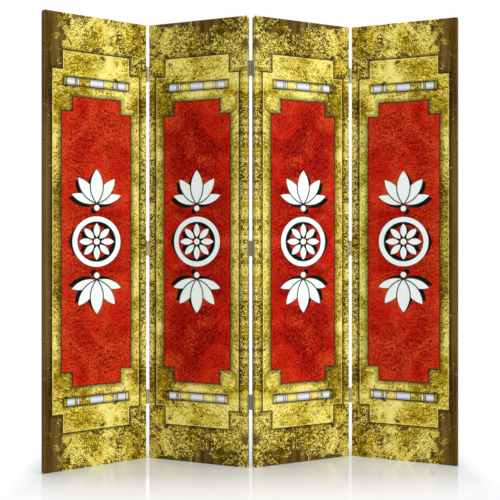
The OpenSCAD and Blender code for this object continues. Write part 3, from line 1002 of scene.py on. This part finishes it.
def staple_places(place, cloth, staple):
    """A matrix for each staple of a panel, along both sides and both ends."""
    rng = random.Random(place.number)
    inset = cloth.turn_in - staple.inset
    for length, across, lying in ((place.height, place.width, False), (place.width, place.height, True)):
        inner = length - 2 * cloth.turn_in
        count = round(inner / staple.pitch)
        for index in range(count + 1):
            run = cloth.turn_in + staple.end_gap + (inner - 2 * staple.end_gap) * index / count
            for far in (False, True):
                side = across - inset if far else inset
                side += rng.uniform(-staple.stray, staple.stray)
                tilt = rng.uniform(-staple.tilt, staple.tilt) + (0 if lying else math.pi / 2)
                at = (run, place.depth, side) if lying else (side, place.depth, run)
                yield Matrix.Translation(at) @ Matrix.Rotation(tilt, 4, "Y")


def one_staple(bm, staple, matrix):
    """A flat-wire staple: a crown on the cloth, rounded at its ends, and two legs in the wood."""
    def bar(size, at):
        where = Matrix.Translation(at) @ Matrix.Diagonal((*size, 1))
        return bmesh.ops.create_cube(bm, size=1.0, matrix=where)["verts"]

    crown = bar((staple.crown, staple.wire_t, staple.wire_w), (0, staple.wire_t * 0.4, 0))
    edges = dict.fromkeys(edge for vert in crown for edge in vert.link_edges)
    ends = [edge for edge in edges if all(vert.co.y > 0 for vert in edge.verts)
            and abs(edge.verts[0].co.x - edge.verts[1].co.x) < TINY]
    rounded = bmesh.ops.bevel(bm, geom=ends, offset=staple.wire_t * 0.6, offset_type="OFFSET", segments=2,
                              profile=0.5, affect="EDGES", clamp_overlap=True, material=-1)["verts"]
    verts = [*rounded, *(vert for vert in crown if vert.is_valid and vert not in rounded)]
    for side in (-1, 1):
        at = (side * (staple.crown - staple.wire_t) / 2, -staple.leg / 2, 0)
        verts += bar((staple.wire_t, staple.leg, staple.wire_w), at)
    bmesh.ops.transform(bm, matrix=matrix, verts=verts)


# Floor, lights and camera

def area_light(name, power, at, target, width, depth):
    """A soft rectangular light that looks at a target."""
    data = bpy.data.lights.new(name, "AREA")
    data.shape = "RECTANGLE"
    data.size = width
    data.size_y = depth
    data.energy = power
    lamp = linked(name, data)
    lamp.location = at
    lamp.rotation_euler = (Vector(target) - Vector(at)).to_track_quat("-Z", "Y").to_euler()


def floor_material(stage):
    """A white floor with a faint polish. It keeps the screen's shadow and runs out into plain white."""
    material, graph = bare_material("studio_floor")
    matt = graph.add("BsdfDiffuse")
    graph.feed_named(matt, Color=FLOOR_WHITE)
    polish = graph.add("BsdfGlossy")
    graph.feed_named(polish, Color=POLISH_WHITE, Roughness=0.04)
    x, y, _ = graph.split(graph.add("TexCoord").outputs["Object"])
    half_x, half_y, _ = CAD_BOX[1]
    beside = graph.most(graph.minus(graph.absolute(x), half_x), 0.0)
    before = graph.most(graph.minus(graph.absolute(y), half_y), 0.0)
    mirrored = graph.ramp(graph.length(beside, before), 0.0, stage.polish_reach, stage.polish, 0.0)
    body = graph.blend(mirrored, matt.outputs[0], polish.outputs[0])
    reach = graph.length(graph.math("DIVIDE", beside, stage.white_beside),
                         graph.math("DIVIDE", before, stage.white_before))
    seen = graph.add("LightPath").outputs["Is Camera Ray"]
    white = graph.add("Emission")
    graph.feed_named(white, Strength=1.0)
    total = graph.blend(graph.times(seen, graph.ramp(reach, 0.0, 1.0)), body, white.outputs[0])
    graph.feed_named(graph.add("OutputMaterial"), Surface=total)
    return material


def studio_floor(stage):
    """A wide floor on which the screen stands."""
    bm = bmesh.new()
    bmesh.ops.create_grid(bm, x_segments=1, y_segments=1, size=FLOOR_HALF)
    floor = finished(bm, "studio_floor", floor_material(stage))


def studio_world(strength):
    """Soft white surroundings that the camera, glossy and clear surfaces see as plain white."""
    world = bpy.data.worlds.new("studio")
    bpy.context.scene.world = world
    world.use_nodes = True
    world.node_tree.nodes.clear()
    graph = Graph(world.node_tree)
    path = graph.add("LightPath")
    seen = graph.most(path.outputs["Is Camera Ray"], path.outputs["Is Glossy Ray"],
                      path.outputs["Is Transmission Ray"])
    background = graph.add("Background")
    graph.feed_named(background, Color=(1, 1, 1), Strength=graph.ramp(seen, 0.0, 1.0, strength, 1.0))
    graph.feed_named(graph.add("OutputWorld"), Surface=background.outputs[0])


def studio_camera(stage):
    """A level camera before the screen, its horizon a little above the picture's middle."""
    data = bpy.data.cameras.new("camera")
    data.lens = stage.lens
    data.sensor_width = SENSOR_MM
    data.shift_y = -stage.rise_px / PICTURE_PX
    camera = linked("camera", data)
    camera.location = (stage.camera_x, -stage.camera_distance, PLACES[1].height / 2)
    camera.rotation_euler = (math.pi / 2, 0, 0)
    bpy.context.scene.camera = camera


# Operators

class SCREEN_OT_stage(bpy.types.Operator):
    """Sets up the floor, the lights and the camera"""
    bl_idname = "screen.stage"
    bl_label = "Set the stage"

    def execute(self, context):
        scene = context.scene
        stage = scene.screen_stage
        middle = (0, 0, PLACES[1].height / 2)
        studio_floor(stage)
        area_light("key", stage.key_power, at=(4.2, -3.4, 2.6), target=middle, width=2.8, depth=2.8)
        area_light("fill", stage.fill_power, at=(-2.6, -2.4, 1.7), target=middle, width=2.6, depth=2.6)
        area_light("back", stage.back_power, at=(-1.6, 3.2, 2.4), target=middle, width=2.4, depth=2.4)
        area_light("top", stage.top_power, at=(0, 0.05, 3.4), target=(0, 0.051, 0), width=3.2, depth=1.0)
        studio_world(stage.world_light)
        studio_camera(stage)
        scene.view_settings.view_transform = "Standard"
        return {"FINISHED"}


class SCREEN_OT_canvas(bpy.types.Operator):
    """Stretches the printed canvas over each panel"""
    bl_idname = "screen.canvas"
    bl_label = "Stretch the canvas"

    def execute(self, context):
        scene = context.scene
        weave_tree = weave_group()
        printed = printed_canvas_material(scene, weave_tree)
        raw = raw_canvas_material(scene, weave_tree)
        cloth = scene.screen_cloth
        for number, place in PLACES.items():
            bm = stretched_cloth(place, cloth)
            corner_folds(bm, place, cloth)
            map_cloth(bm, place, cloth)
            settle_cloth(bm, place, cloth, scene.screen_staples.pitch)
            for face in bm.faces:
                face.smooth = True
            bm.transform(place.matrix())
            piece = finished(bm, f"panel_{number}_stretched_canvas", printed, raw)
            thick = piece.modifiers.new("Thickness", "SOLIDIFY")
            thick.thickness = cloth.thickness
            thick.offset = -1.0
            thick.use_even_offset = True
            thick.material_offset = 1
            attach(piece, f"panel_{number}")
            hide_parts(f"panel_{number}_canvas")
        return {"FINISHED"}


class SCREEN_OT_staples(bpy.types.Operator):
    """Drives the staples through the turned margins"""
    bl_idname = "screen.staples"
    bl_label = "Drive the staples"

    def execute(self, context):
        scene = context.scene
        staple, plain = scene.screen_staples, colours_of(scene.screen_materials)
        zinc = steel_material(plated_group(), "staple_zinc", plain.zinc, plain.zinc_dark)
        for number, place in PLACES.items():
            bm = bmesh.new()
            for matrix in staple_places(place, scene.screen_cloth, staple):
                one_staple(bm, staple, matrix)
            bm.transform(place.matrix())
            piece = finished(bm, f"panel_{number}_staples", zinc)
            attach(piece, f"panel_{number}")
        return {"FINISHED"}


class SCREEN_OT_timber(bpy.types.Operator):
    """Finishes the wooden bars in planed pine, the grain along each bar"""
    bl_idname = "screen.timber"
    bl_label = "Finish the bars"

    def execute(self, context):
        scene = context.scene
        tree = pine_group()
        upright = pine_material(scene, tree, "pine_upright", Matrix.Identity(3))
        for number, place in PLACES.items():
            turned = Matrix.Rotation(-math.pi / 2, 3, "Y") @ Matrix.Rotation(-place.angle(), 3, "Z")
            lying = pine_material(scene, tree, f"pine_lying_{number}", turned)
            for bar in STILES:
                set_material(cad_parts[f"panel_{number}_{bar}"], upright)
            for bar in (*RAILS, "cross_brace"):
                set_material(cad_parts[f"panel_{number}_{bar}"], lying)
        return {"FINISHED"}


class SCREEN_OT_hinges(bpy.types.Operator):
    """Finishes the hinges, their pins and their screws in plated steel"""
    bl_idname = "screen.hinges"
    bl_label = "Finish the hinges"

    def execute(self, context):
        plain = colours_of(context.scene.screen_materials)
        tree = plated_group()
        steel = steel_material(tree, "hinge_steel", plain.steel, plain.steel_dark, 0.45)
        zinc = steel_material(tree, "zinc_plate", plain.zinc, plain.zinc_dark)
        finishes = {"three_knuckle_leaf": steel, "two_knuckle_leaf": steel, "hinge_pin": zinc}
        for fold in FOLDS:
            for level in LEVELS:
                for piece, material in finishes.items():
                    set_material(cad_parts[f"{fold}_{level}_{piece}"], material)
        for number in PANEL_NUMBERS:
            set_material(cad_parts[f"panel_{number}_hinge_screws"], zinc)
        return {"FINISHED"}


STEPS = (SCREEN_OT_stage, SCREEN_OT_canvas, SCREEN_OT_staples, SCREEN_OT_timber, SCREEN_OT_hinges)
SETTINGS = {
    "screen_cloth": ScreenCloth, "screen_print": ScreenPrint, "screen_design": ScreenDesign,
    "screen_materials": ScreenMaterials, "screen_staples": ScreenStaples, "screen_stage": ScreenStage}


# Sidebar and start

class SCREEN_PT_sidebar(bpy.types.Panel):
    """Lists the screen's sizes, colours and steps"""
    bl_label = "Folding screen"
    bl_idname = "SCREEN_PT_sidebar"
    bl_space_type = "VIEW_3D"
    bl_region_type = "UI"
    bl_category = "Folding screen"

    def draw(self, context):
        layout = self.layout
        for attribute, kind in SETTINGS.items():
            box = layout.box()
            box.label(text=kind.__doc__)
            group = getattr(context.scene, attribute)
            for name in kind.__annotations__:
                box.prop(group, name)
        for step in STEPS:
            layout.operator(step.bl_idname)


def register():
    for kind in (*SETTINGS.values(), *STEPS, SCREEN_PT_sidebar):
        bpy.utils.register_class(kind)
    for attribute, kind in SETTINGS.items():
        setattr(bpy.types.Scene, attribute, PointerProperty(type=kind))


def unregister():
    for attribute in SETTINGS:
        delattr(bpy.types.Scene, attribute)
    for kind in reversed((*SETTINGS.values(), *STEPS, SCREEN_PT_sidebar)):
        bpy.utils.unregister_class(kind)


def main():
    """Dresses the screen."""
    register()
    bpy.ops.screen.stage()
    bpy.ops.screen.canvas()
    bpy.ops.screen.staples()
    bpy.ops.screen.timber()
    bpy.ops.screen.hinges()


if __name__ == "__main__":
    main()
